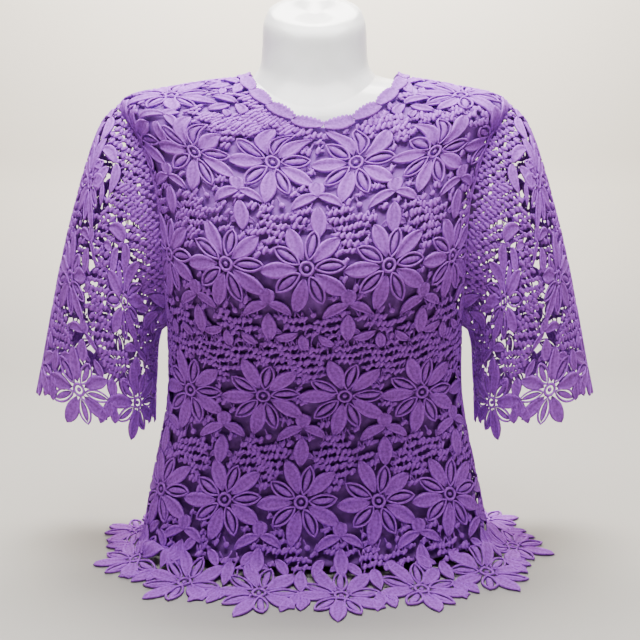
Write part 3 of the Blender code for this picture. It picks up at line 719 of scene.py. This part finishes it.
def makeMesh(name, points, faces, reliefs):
    mesh = bpy.data.meshes.new(name)
    mesh.from_pydata(points.tolist(), [], faces)
    # The relief attribute carries painted shade: the lower a point of the lace lies, the more of the yarn's deep
    # colour it gets. On the linings it carries painted light above and painted shade below, by height.
    relief = mesh.attributes.new("relief", "FLOAT", "POINT")
    relief.data.foreach_set("value", np.clip(reliefs / lace["fullRelief"], 0, 1).astype(np.float32))
    whole = bmesh.new()
    whole.from_mesh(mesh)
    bmesh.ops.remove_doubles(whole, verts=whole.verts, dist=0.02 * mm)
    bmesh.ops.dissolve_degenerate(whole, edges=whole.edges, dist=0.001 * mm)
    bmesh.ops.recalc_face_normals(whole, faces=whole.faces)
    whole.to_mesh(mesh)
    whole.free()
    mesh.polygons.foreach_set("use_smooth", np.ones(len(mesh.polygons), bool))
    mesh.update()
    return mesh


def addPiece(name, mesh, material, node, slot):
    piece = bpy.data.objects.new(name, mesh)
    bpy.context.scene.collection.objects.link(piece)
    piece.data.materials.append(material)
    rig.ride(piece, "root")
    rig.replaces(piece, *node)
    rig.slot(piece, slot)
    return piece


# Looks of the materials: noise scales of the mottling and of the threads, and the bump in metres
finishes = {
    "laceYarn": {"light": (0.52, 0.13, 0.87), "deep": (0.13, 0.035, 0.25), "roughness": 0.8, "coat": 0.0,
                 "sheen": 0.03, "sheenTint": (0.75, 0.5, 1.0), "shine": 0.25, "mottle": 420, "thread": 1100,
                 "bump": 0.0007, "paintedShadeFrom": "relief"},
    "liningJersey": {"light": (0.48, 0.155, 0.80), "deep": (0.15, 0.04, 0.27), "roughness": 0.75, "coat": 0.0,
                     "sheen": 0.04, "sheenTint": (0.75, 0.5, 1.0), "shine": 0.25, "mottle": 120, "thread": 1500,
                     "bump": 0.0003, "paintedShadeFrom": "relief"},
    "formPlastic": {"light": (0.93, 0.93, 0.95), "deep": (0.70, 0.69, 0.69), "roughness": 0.32, "coat": 0.25,
                    "sheen": 0.0, "sheenTint": (1, 1, 1), "shine": 0.5, "mottle": 25, "thread": 300,
                    "bump": 0.00005, "paintedShadeFrom": None},
}
# The mottling's share of the deep colour is tone at random. The relief's share is painted shade on the lace's low
# parts and on the linings' lower parts.
deepShares = {  # what the mottling and a low relief add of the deep colour: from low, from high, to low, to high
    "mottle": (0.35, 0.65, 0.0, 0.4),
    "relief": (0.0, 0.95, 0.7, 0.0),
}


def mapRange(nodes, values):
    node = nodes.new("ShaderNodeMapRange")
    for name, value in zip(("From Min", "From Max", "To Min", "To Max"), values):
        node.inputs[name].default_value = value
    return node


def groupSocket(group, name, kind, direction="INPUT", value=None):
    socket = group.interface.new_socket(name, in_out=direction, socket_type=kind)
    if value is not None:
        socket.default_value = value


# The colour is mottled thread colour, darkened further by painted shade from the depth factor.
def makeYarnGroup():  # mottled thread colour and its fine bump height
    group = bpy.data.node_groups.new("yarnSurface", "ShaderNodeTree")
    groupSocket(group, "Light Colour", "NodeSocketColor")
    groupSocket(group, "Deep Colour", "NodeSocketColor")
    groupSocket(group, "Depth", "NodeSocketFloat", value=0.0)
    groupSocket(group, "Mottle Scale", "NodeSocketFloat", value=400.0)
    groupSocket(group, "Thread Scale", "NodeSocketFloat", value=1500.0)
    groupSocket(group, "Colour", "NodeSocketColor", "OUTPUT")
    groupSocket(group, "Height", "NodeSocketFloat", "OUTPUT")
    nodes, links = group.nodes, group.links
    start, end = nodes.new("NodeGroupInput"), nodes.new("NodeGroupOutput")
    place = nodes.new("ShaderNodeTexCoord")
    mottle, thread = nodes.new("ShaderNodeTexNoise"), nodes.new("ShaderNodeTexNoise")
    mottle.inputs["Detail"].default_value = 3
    thread.inputs["Detail"].default_value = 2
    links.new(place.outputs["Object"], mottle.inputs["Vector"])
    links.new(place.outputs["Object"], thread.inputs["Vector"])
    links.new(start.outputs["Mottle Scale"], mottle.inputs["Scale"])
    links.new(start.outputs["Thread Scale"], thread.inputs["Scale"])
    spread = mapRange(nodes, deepShares["mottle"])
    links.new(mottle.outputs["Fac"], spread.inputs["Value"])
    total = nodes.new("ShaderNodeMath")
    total.operation = "ADD"
    total.use_clamp = True
    links.new(spread.outputs["Result"], total.inputs[0])
    links.new(start.outputs["Depth"], total.inputs[1])
    mix = nodes.new("ShaderNodeMix")
    mix.data_type = "RGBA"
    links.new(total.outputs["Value"], mix.inputs["Factor"])
    links.new(start.outputs["Light Colour"], mix.inputs["A"])
    links.new(start.outputs["Deep Colour"], mix.inputs["B"])
    links.new(mix.outputs["Result"], end.inputs["Colour"])
    links.new(thread.outputs["Fac"], end.inputs["Height"])
    return group


yarnGroup = makeYarnGroup()


def makeMaterial(name):
    finish = finishes[name]
    material = bpy.data.materials.new(name)
    material.use_nodes = True
    nodes, links = material.node_tree.nodes, material.node_tree.links
    shader, yarn = nodes["Principled BSDF"], nodes.new("ShaderNodeGroup")
    for socket, value in (("Roughness", finish["roughness"]), ("Coat Weight", finish["coat"]),
                          ("Sheen Weight", finish["sheen"]), ("Sheen Tint", (*finish["sheenTint"], 1)),
                          ("Sheen Roughness", 0.4), ("Specular IOR Level", finish["shine"])):
        shader.inputs[socket].default_value = value
    yarn.node_tree = yarnGroup
    for socket, value in (("Light Colour", (*finish["light"], 1)), ("Deep Colour", (*finish["deep"], 1)),
                          ("Mottle Scale", finish["mottle"]), ("Thread Scale", finish["thread"])):
        yarn.inputs[socket].default_value = value
    # Painted shade: the relief attribute mixes in the deep colour where the lace lies low, and on the linings lower
    # down.
    if finish["paintedShadeFrom"]:
        relief = nodes.new("ShaderNodeAttribute")
        relief.attribute_name = finish["paintedShadeFrom"]
        depth = mapRange(nodes, deepShares["relief"])
        links.new(relief.outputs["Fac"], depth.inputs["Value"])
        links.new(depth.outputs["Result"], yarn.inputs["Depth"])
    links.new(yarn.outputs["Colour"], shader.inputs["Base Color"])
    bump = nodes.new("ShaderNodeBump")
    bump.inputs["Strength"].default_value = 0.5
    bump.inputs["Distance"].default_value = finish["bump"]
    links.new(yarn.outputs["Height"], bump.inputs["Height"])
    links.new(bump.outputs["Normal"], shader.inputs["Normal"])
    return material


laceMaterial, liningMaterial, formMaterial = (makeMaterial(name) for name in finishes)
print("materials ready")

# Places of the body's motifs. A row: ring, flowers all round, the first one's mm from the centre front
bodyRows = ((1.0, 14, 18), (4.15, 11, -13), (6.17, 10, 29), (8.25, 12, -6), (10.12, 12, 38))
waistRow = 3
shoulderFlowers = [(math.radians(degrees), 11.7, 1.0) for degrees in (62, -62, 118, -118)]
yokeSprays = [(math.radians(degrees), ring, 0.86) for degrees, ring in (
    (43, 12.45), (-43, 12.45), (137, 12.2), (-140, 12.2), (64, 12.8), (-63, 12.8), (86, 12.7), (-86, 12.7),
    (89, 12.15), (-89, 12.15), (112, 12.75), (-114, 12.75), (136, 12.75), (-138, 12.75), (162, 12.7), (-164, 12.7))]
# The left sleeve's motifs. A row: mm above the cuff, scale, degrees round from the shoulder point
sleeveRows = (
    (42, 0.94, (30, 90, 150, 210, 270, 330)),
    (140, 0.9, (0, 60, 120, 180, 240, 300)),
    (232, 0.9, (52, 308)),
)
sleeveSprays = ((2, 268), (-4, 222), (100, 196), (-98, 198), (148, 190), (-146, 188), (26, 300), (-28, 298),
                (62, 262), (-60, 264))  # degrees, mm above the cuff
# The nets: size beside the usual one, rows, first and last ring, and what stays free below the upper edge
bodyNet = {"seed": 7, "fine": 0.95, "rows": 110, "lowest": 0.98, "highest": neckline, "edgeClear": 8.5 * mm}
sleeveNet = {"seed": 11, "fine": 0.85, "rows": 76, "lowest": 0.06, "highest": len(sleeveRings) - 1.45,
             "edgeClear": 0.0}


def makeBodyLace():
    random = np.random.default_rng(bodyNet["seed"])
    work, net = LaceWork(), LaceWork()
    places = list(bodyFlowers(bodyRows)) + shoulderFlowers
    hemPlaces = places[:bodyRows[0][1]]
    for place in places:
        layParts(work, body, place, flowerParts(random), keepOnBody, 1)
        if place not in hemPlaces:
            layParts(work, body, place, leafParts(), keepOnBody, 1)
        if place[1] == bodyRows[waistRow][0]:
            layParts(work, body, place, waistParts(), keepOnBody, 1)
    for place in hemPlaces:
        layParts(work, body, place, edgeParts(), keepOnBody, 1)
    for place in yokeSprays:
        layParts(work, body, place, yokeParts(), keepOnBody, 1)

    def inHole(angle, ring):
        kept, _ = keepOnBody(np.array([angle]), np.array([ring]))
        return abs(kept[0] - angle) > 1e-9

    rows = netKnots(body, 1.0, 1, bodyNet)
    layNet(net, body, rows, work, gapTest(body, places, 1), inHole, random, bodyNet["fine"])
    return work, net


def makeSleeveLace():
    random = np.random.default_rng(sleeveNet["seed"])
    work = LaceWork()
    places = [sleevePlace(turn, height, scale) for height, scale, turns in sleeveRows for turn in np.radians(turns)]
    cuffPlaces = places[:len(sleeveRows[0][2])]
    for place in places:
        layParts(work, sleeve, place, flowerParts(random), keepOnSleeve, -1)
        layParts(work, sleeve, place, edgeParts() if place in cuffPlaces else leafParts(), keepOnSleeve, -1)
    for degrees, height in sleeveSprays:
        layParts(work, sleeve, sleevePlace(math.radians(degrees), height, 1.0), yokeParts(), keepOnSleeve, -1)
    rows = netKnots(sleeve, len(sleeveRings), -1, sleeveNet)
    isOpen = gapTest(sleeve, places, -1)
    layNet(work, sleeve, rows, work, isOpen, lambda turn, place: False, random, sleeveNet["fine"])
    return work


def splitByAngle(work):  # the front half and the back half of the body's lace, in whole islands
    points, reliefs = work.arrays()
    return [pick(points, reliefs, [face for face, onFront in zip(work.faces, work.onFront) if onFront == front])
            for front in (True, False)]


def pick(points, reliefs, faces):  # these faces with only the points they use
    used = np.unique(np.concatenate([np.array(face) for face in faces]))
    renumber = np.full(len(points), -1)
    renumber[used] = np.arange(len(used))
    return points[used], [tuple(int(renumber[corner]) for corner in face) for face in faces], reliefs[used]


def report(piece):
    areas = np.empty(len(piece.data.polygons), np.float32)
    piece.data.polygons.foreach_get("area", areas)
    print(piece.name, len(piece.data.loops) - 2 * len(piece.data.polygons), "triangles, half its surface",
          round(float(areas.sum()) / 2, 4), "m2")
    return piece


lacePieces = {}
for title, work in zip(("lace", "net"), makeBodyLace()):
    for side, arrays in zip(("Front", "Back"), splitByAngle(work)):
        lacePieces[title + side] = report(addPiece(
            title + side, makeMesh(title + side, *arrays), laceMaterial, ["lace_" + side.lower()], "lace"))

sleeveLace = makeSleeveLace()
points, reliefs = sleeveLace.arrays()
for name, nodes, side in (("sleeveLeft", ["sleeve_left_front", "sleeve_left_back"], 1),
                          ("sleeveRight", ["sleeve_right_front", "sleeve_right_back"], -1)):
    mesh = makeMesh(name, points * (side, 1, 1), sleeveLace.faces, reliefs)
    lacePieces[name] = report(addPiece(name, mesh, laceMaterial, nodes, "lace"))

# The linings, inside the lace's middle. Heights of the painted light, which gives way to painted shade lower down, are
# in metres.
lining = {"steps": 121, "hem": 2.6, "depth": 4.6 * mm, "depthAtNeck": 2.1 * mm, "neckReach": 0.5,
          "armholeInset": 7 * mm, "pulledFrom": 0.93, "chestRise": 1.7 * mm, "chestFrom": 6.5, "chestReach": 2,
          "litFrom": 0.26, "litTo": 0.38, "paintedLitLevel": 2.1, "wall": 1.0 * mm}


def layerDepth(rings, usual, atNeck):
    return atNeck + (usual - atNeck) * np.clip((neckline - rings) / lining["neckReach"], 0, 1)


def makeLining(name, node, middle):  # points just inside the armhole are pulled onto its edge
    angles = np.linspace(middle - sideAngle, middle + sideAngle, lining["steps"])
    rings = np.linspace(lining["hem"], neckline, lining["steps"])
    gridAngles, gridRings = np.meshgrid(angles, rings, indexing="ij")
    wrapped = wrapAngle(gridAngles)
    atSide = np.abs(gridAngles - middle) > sideAngle - 1e-9
    wrapped = np.where(atSide, np.sign(gridAngles - middle) * sideAngle * np.sign(np.cos(middle)), wrapped)
    wide = armhole["halfAngle"] + lining["armholeInset"] / armhole["metresPerRadian"]
    tall = armholeHalf + lining["armholeInset"] / armhole["metresPerRing"]
    across, up = armholePlace(wrapped, gridRings, wide, tall)
    out = np.sqrt(across**2 + up**2)
    nearEdge = (out < 1) & (out > lining["pulledFrom"])
    push = np.where(nearEdge, 1 / np.maximum(out, 1e-3), 1)
    outward = np.where(np.cos(middle) > 0, np.sign(gridAngles), np.sign(wrapped))
    laidAngles = gridAngles + outward * across * (push - 1) * wide
    laidRings = np.minimum(gridRings + up * (push - 1) * tall, neckline)
    onChest = np.clip((laidRings - lining["chestFrom"]) / lining["chestReach"], 0, 1)
    onChest = onChest * np.clip((neckline - laidRings) / lining["neckReach"], 0, 1)
    depth = layerDepth(laidRings, lining["depth"], lining["depthAtNeck"]) - lining["chestRise"] * onChest
    points = body.read(body.points, laidAngles, laidRings)
    points = (points - body.read(body.normals, laidAngles, laidRings) * depth[..., None]).reshape(-1, 3)
    kept = (out >= 1) | nearEdge
    count = len(rings)
    faces = []
    for i in range(len(angles) - 1):
        for j in range(count - 1):
            if kept[i, j] and kept[i + 1, j] and kept[i, j + 1] and kept[i + 1, j + 1]:
                faces.append((i * count + j, (i + 1) * count + j, (i + 1) * count + j + 1, i * count + j + 1))
    # Painted light: the lining's colour is light from litFrom up to litTo and above, and painted shade below, by
    # height alone.
    lit = np.clip((points[:, 2] - lining["litFrom"]) / (lining["litTo"] - lining["litFrom"]), 0, 1)
    mesh = makeMesh(name, *pick(points, lit * lining["paintedLitLevel"], faces))
    piece = addPiece(name, mesh, liningMaterial, [node], "lining")
    thick = piece.modifiers.new("wall", "SOLIDIFY")
    thick.thickness, thick.offset = lining["wall"], 0
    return report(piece)


liningFront = makeLining("liningFront", "lining_front", 0.0)
liningBack = makeLining("liningBack", "lining_back", math.pi)

# The neck edging in mm: a row of small lobed fans that stand above the neckline
edging = {"fans": 18, "lobes": 7, "stationsPerLobe": 4, "foot": -8.0, "footBow": 3.0, "endHeight": 6.0,
          "archHeight": 7.6, "lobeHeight": 2.2, "out": 1.6, "overlap": 1.02, "lapRise": 0.3, "backShare": 0.97}
edgingSection = (  # share of the fan's height, relief
    (0, -0.2), (0.03, 1.0), (0.14, 1.35), (0.3, 0.9), (0.75, 0.8), (0.9, 1.3), (0.97, 1.0), (1, -0.2),
)


def makeEdging():
    work = LaceWork()
    line = body.read(body.around, np.radians([-180.0, 180.0]), np.full(2, float(neckline)))
    width = (line[1] - line[0]) / edging["fans"] / mm
    half = width / 2 * edging["overlap"]
    steps, count = edging["lobes"] * edging["stationsPerLobe"] + 1, len(edgingSection)
    t = np.linspace(-1, 1, steps)
    arch = np.sqrt(1 - (t * 0.99) ** 2)
    scallop = np.abs(np.sin((t + 1) / 2 * math.pi * edging["lobes"])) ** 0.6
    top = edging["foot"] + edging["endHeight"] + edging["archHeight"] * arch + edging["lobeHeight"] * scallop
    foot = edging["foot"] + edging["footBow"] * t**2
    flat = np.array([(half * x * (edging["backShare"] if r in (0, count - 1) else 1),
                      low + (high - low) * share, relief)
                     for x, low, high in zip(t, foot, top) for r, (share, relief) in enumerate(edgingSection)])
    caps = [tuple(range(count)), tuple(reversed(range((steps - 1) * count, steps * count)))]
    faces = bandFaces(steps, count) + caps
    for n in range(edging["fans"]):
        angle = body.angleAt(neckline, (n + 0.5 - edging["fans"] / 2) * width * mm)
        angles, rings = body.beside(angle, float(neckline), flat[:, 0] * mm, flat[:, 1] * mm)
        out = edging["out"] + edging["lapRise"] * (n % 2)
        points = body.read(body.points, angles, rings)
        points = points + body.read(body.normals, angles, rings) * ((flat[:, 2:] + out) * mm)
        # The fans' relief values, raised by 0.3, set how much painted shade their low parts get.
        work.add(points, faces, flat[:, 2] + 0.3)
    return work


edgingWork = makeEdging()
points, reliefs = edgingWork.arrays()
neckEdging = report(addPiece("neckEdging", makeMesh("neckEdging", points, edgingWork.faces, reliefs),
                             laceMaterial, ["neck_trim"], "lace"))

# The piped seams in mm, that join the sleeves to the body. Their relief is a fixed value for the relief attribute, so
# the cord gets an even share of painted shade.
seam = {"radius": 1.7, "steps": 120, "sides": 8, "out": 0.3, "strands": 60, "swell": 0.18, "relief": 1.6}


def makeSeam(side):
    turns = np.linspace(0, fullTurn, seam["steps"], endpoint=False)
    angles, rings = armholeEdge(turns)
    normal = body.read(body.normals, angles, rings)
    middle = body.read(body.points, angles, rings) + normal * (seam["out"] * mm)
    ahead = np.roll(middle, -1, axis=0) - np.roll(middle, 1, axis=0)
    ahead /= np.linalg.norm(ahead, axis=1, keepdims=True)
    across = np.cross(ahead, normal)
    normal = np.cross(across, ahead)
    rolls = np.linspace(0, fullTurn, seam["sides"], endpoint=False)
    section = across[:, None] * np.cos(rolls)[:, None] + normal[:, None] * np.sin(rolls)[:, None]
    radii = seam["radius"] * mm * (1 + seam["swell"] * np.sin(turns * seam["strands"]))
    points = (middle[:, None] + section * radii[:, None, None]).reshape(-1, 3) * (side, 1, 1)
    faces = bandFaces(seam["steps"], seam["sides"], closed=True)
    return makeMesh("seam", points, faces, np.full(len(points), seam["relief"]))


for name, side in (("armholeSeamLeft", 1), ("armholeSeamRight", -1)):
    piece = bpy.data.objects.new(name, makeSeam(side))
    bpy.context.scene.collection.objects.link(piece)
    piece.data.materials.append(laceMaterial)
    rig.ride(piece, "root")
    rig.slot(piece, "lace")
    lacePieces[name] = piece

print("lace ready")

# What each piece of cloth was cut to, in metres and square metres
cuts = {
    "front": {"flat": (0.670, 0.643), "area": 0.2288},
    "back": {"flat": (0.654, 0.643), "area": 0.2252},
    "sleeve": {"flat": (0.548, 0.319), "area": 0.1021},
    "liningFront": {"flat": (0.458, 0.587), "area": 0.1776},
    "liningBack": {"flat": (0.448, 0.587), "area": 0.1796},
}
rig.sheet(lacePieces["laceFront"], held="draped", rests_on=["bust_form"], **cuts["front"],
         with_pieces=[lacePieces["netFront"], neckEdging])
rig.sheet(lacePieces["laceBack"], held="draped", rests_on=["bust_form"], **cuts["back"],
         with_pieces=[lacePieces["netBack"]])
for side in ("Left", "Right"):
    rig.sheet(lacePieces["sleeve" + side], held="hung", rests_on=["lace_front", "lace_back"], **cuts["sleeve"],
             with_pieces=[lacePieces["armholeSeam" + side]])
for piece in (liningFront, liningBack):
    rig.sheet(piece, held="draped", rests_on=["bust_form"], **cuts[piece.name])

# The bust form that the top hangs on. Rings of its neck and slanted cap in mm:
# halfWidth, front, back, zFront, zSide, zBack
neckRings = (
    (62, 60, 40, 447, 491, 490),
    (55, 49, 42, 470, 502, 504),
    (53, 43, 48, 496, 520, 524),
    (52, 40, 52, 516, 540, 552),
    (49, 36, 52, 526, 550, 569),
    (44, 31, 48, 532, 558, 580),
    (30, 20, 34, 541, 563, 581),
    (14, 9, 16, 549, 565, 577),
)
form = {"depth": 9.8 * mm, "depthAtNeck": 3.8 * mm, "foot": 4.0, "baseInset": 2 * mm, "rimInset": 0.4 * mm,
        "rimHeight": 0.02, "skirtHeight": 0.35, "bodySteps": 74, "neckSteps": 43, "endBelowNeckline": 0.02,
        "tipRise": 0.4 * mm, "sides": 128}


def neckRing(angles, row):
    halfWidth, front, back, zFront, zSide, zBack = (value * mm for value in row)
    along = np.cos(angles)
    middle = (zFront + zBack) / 2
    z = middle + (zFront - zBack) / 2 * along + (zSide - middle) * np.sin(angles) ** 2
    return np.stack((halfWidth * np.sin(angles), -np.where(along > 0, front, back) * along, z), axis=-1)


def makeForm():
    sides = form["sides"]
    angles = np.linspace(0, fullTurn, sides, endpoint=False)
    wrapped = wrapAngle(angles)

    def bodyRing(ring):
        rings = np.full_like(wrapped, ring)
        depth = layerDepth(rings, form["depth"], form["depthAtNeck"])[:, None]
        return body.read(body.points, wrapped, rings) - body.read(body.normals, wrapped, rings) * depth

    foot = bodyRing(form["foot"])
    base = foot * (1, 1, 0)
    inward = base - base.mean(axis=0)
    inward /= np.linalg.norm(inward, axis=1, keepdims=True)
    rings = [base - inward * form["baseInset"], foot * (1, 1, form["rimHeight"]) - inward * form["rimInset"],
             foot * (1, 1, form["skirtHeight"])]
    rings += [bodyRing(ring) for ring in
              np.linspace(form["foot"], neckline - form["endBelowNeckline"], form["bodySteps"])]
    rings += [neckRing(angles, smoothRows(neckRings, place)) for place in
              np.linspace(0, len(neckRings) - 1, form["neckSteps"])]
    tip, middle = rings[-1].mean(axis=0) + (0, 0, form["tipRise"]), rings[0].mean(axis=0)
    count, last = len(rings) * sides, (len(rings) - 1) * sides
    faces = bandFaces(len(rings), sides)
    faces += [(last + i, last + (i + 1) % sides, count) for i in range(sides)]
    faces += [((i + 1) % sides, i, count + 1) for i in range(sides)]
    points = np.concatenate((np.array(rings).reshape(-1, 3), [tip, middle]))
    return makeMesh("bustForm", points, faces, np.ones(len(points)))


report(addPiece("bustForm", makeForm(), formMaterial, ["bust_form"], "form"))

# Floor, wall, light and camera
stage = {"halfWidth": 4.0, "front": -3.0, "bendFrom": 0.9, "bendRadius": 0.6, "bendSteps": 12, "height": 3.2,
         "floor": (0.40, 0.39, 0.37), "wall": (0.92, 0.86, 0.76), "fadeHeight": 0.5, "roughness": 0.6}
camera = {"place": (0.0055, -0.73, 0.32), "pitch": 6.2, "lens": 39.04, "sensor": 36, "clipStart": 0.01}
lights = (  # name, place, what it is aimed at, size, watts, colour
    ("softTop", (0.0, -0.27, 1.02), (0, 0, 0.3), (0.7, 0.34), 13.4, (1.0, 0.985, 0.96)),
    ("softFront", (-0.9, -1.7, 1.1), (0, 0, 0.3), (1.2, 1.2), 0.6, (1.0, 0.99, 0.98)),
    ("softRight", (1.3, -1.0, 0.9), (0, 0, 0.3), (1.0, 1.0), 0.4, (0.97, 0.98, 1.0)),
    ("softBack", (0.0, 0.5, 2.4), (0, 1.6, 0.6), (2.0, 0.8), 200, (1.0, 0.96, 0.90)),
)
room = {"colour": (0.93, 0.93, 0.95), "strength": 0.05}


def makeStage():
    start, radius = stage["bendFrom"], stage["bendRadius"]
    bends = np.linspace(0, math.pi / 2, stage["bendSteps"])[1:]
    profile = [(stage["front"], 0.0), (start, 0.0)]
    profile += [(start + radius * math.sin(t), radius - radius * math.cos(t)) for t in bends]
    profile += [(start + radius, stage["height"])]
    points = [(x, y, z) for y, z in profile for x in (-stage["halfWidth"], stage["halfWidth"])]
    faces = [(2 * i, 2 * i + 1, 2 * i + 3, 2 * i + 2) for i in range(len(profile) - 1)]
    mesh = bpy.data.meshes.new("stageSweep")
    mesh.from_pydata(points, [], faces)
    mesh.polygons.foreach_set("use_smooth", np.ones(len(mesh.polygons), bool))
    sweep = bpy.data.objects.new("stageSweep", mesh)
    bpy.context.scene.collection.objects.link(sweep)
    material = bpy.data.materials.new("stagePaint")
    material.use_nodes = True
    shader = material.node_tree.nodes["Principled BSDF"]
    shader.inputs["Roughness"].default_value = stage["roughness"]
    nodes, links = material.node_tree.nodes, material.node_tree.links
    place, split = nodes.new("ShaderNodeTexCoord"), nodes.new("ShaderNodeSeparateXYZ")
    height, mix = nodes.new("ShaderNodeMapRange"), nodes.new("ShaderNodeMix")
    mix.data_type = "RGBA"
    height.inputs["From Max"].default_value = stage["fadeHeight"]
    mix.inputs["A"].default_value = (*stage["floor"], 1)
    mix.inputs["B"].default_value = (*stage["wall"], 1)
    links.new(place.outputs["Object"], split.inputs["Vector"])
    links.new(split.outputs["Z"], height.inputs["Value"])
    links.new(height.outputs["Result"], mix.inputs["Factor"])
    links.new(mix.outputs["Result"], shader.inputs["Base Color"])
    mesh.materials.append(material)
    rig.stage(sweep)


def addLight(name, place, target, size, power, colour):
    light = bpy.data.lights.new(name, "AREA")
    light.shape, light.size, light.size_y = "RECTANGLE", size[0], size[1]
    light.energy, light.color = power, colour
    lamp = bpy.data.objects.new(name, light)
    lamp.location = place
    lamp.rotation_euler = (Vector(target) - Vector(place)).to_track_quat("-Z", "Y").to_euler()
    bpy.context.scene.collection.objects.link(lamp)


def makeCamera():
    data = bpy.data.cameras.new("camera")
    data.lens, data.sensor_width, data.clip_start = camera["lens"], camera["sensor"], camera["clipStart"]
    eye = bpy.data.objects.new("camera", data)
    eye.location = camera["place"]
    eye.rotation_euler = (math.radians(90 - camera["pitch"]), 0, 0)
    bpy.context.scene.collection.objects.link(eye)
    bpy.context.scene.camera = eye


def lightRoom():
    world = bpy.data.worlds.new("studio")
    world.use_nodes = True
    background = world.node_tree.nodes["Background"]
    background.inputs["Color"].default_value = (*room["colour"], 1)
    background.inputs["Strength"].default_value = room["strength"]
    bpy.context.scene.world = world


makeStage()
makeCamera()
for light in lights:
    addLight(*light)
lightRoom()
print("stage ready")

with open("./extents.json", "w") as sizes:
    json.dump({"cad": [list(map(float, corner)) for corner in cadBounds],
               "visual": [list(map(float, corner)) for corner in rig.bounds()]}, sizes)
